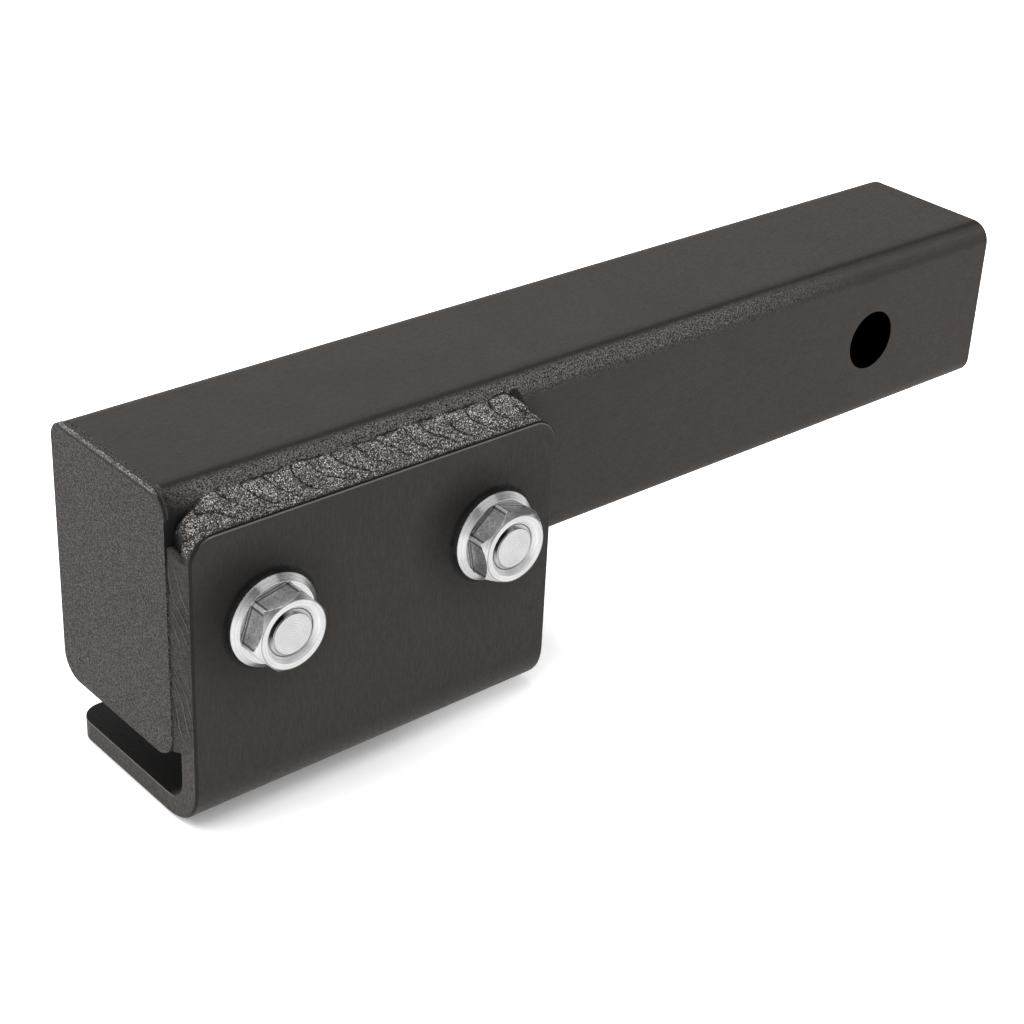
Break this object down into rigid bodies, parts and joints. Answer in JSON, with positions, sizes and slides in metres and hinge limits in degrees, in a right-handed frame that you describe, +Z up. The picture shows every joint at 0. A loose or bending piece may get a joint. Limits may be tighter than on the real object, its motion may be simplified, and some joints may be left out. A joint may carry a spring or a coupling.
{
  "type": "receiver hitch",
  "caption": "Square steel receiver shank with a capped, thickened end, a welded and bolted clamp plate bent under it to leave a slot, and a cross hole for the hitch pin.",
  "frame": {"origin": "centre of the pin hole, on the shank's own centre line", "axes": "+X along the shank to the end that slides into the receiver, +Y from the front, where the nuts are, to the back, along the pin hole, +Z up"},
  "size_m": [0.2973, 0.0767, 0.0945],
  "materials": {
    "dark_coat": "satin dark grey powder coat with a fine grain",
    "cap_coat": "lighter, coarser grained powder coat on the flame cut cap",
    "plate_coat": "smooth satin dark grey powder coat",
    "weld_coat": "powder coat over a rough weld bead",
    "zinc": "bright zinc plate"
  },
  "bodies": {
    "root": {"shank_tube": "dark_coat", "end_cap": "cap_coat", "cap_weld": "weld_coat", "spacer_bar": "dark_coat", "clamp_plate": "plate_coat", "top_weld": "weld_coat", "side_weld": "weld_coat", "bar_seam_weld": "weld_coat", "bar_end_weld": "weld_coat", "near_bolt": "zinc", "far_bolt": "zinc", "near_nut": "zinc", "far_nut": "zinc"}
  },
  "joints": []
}
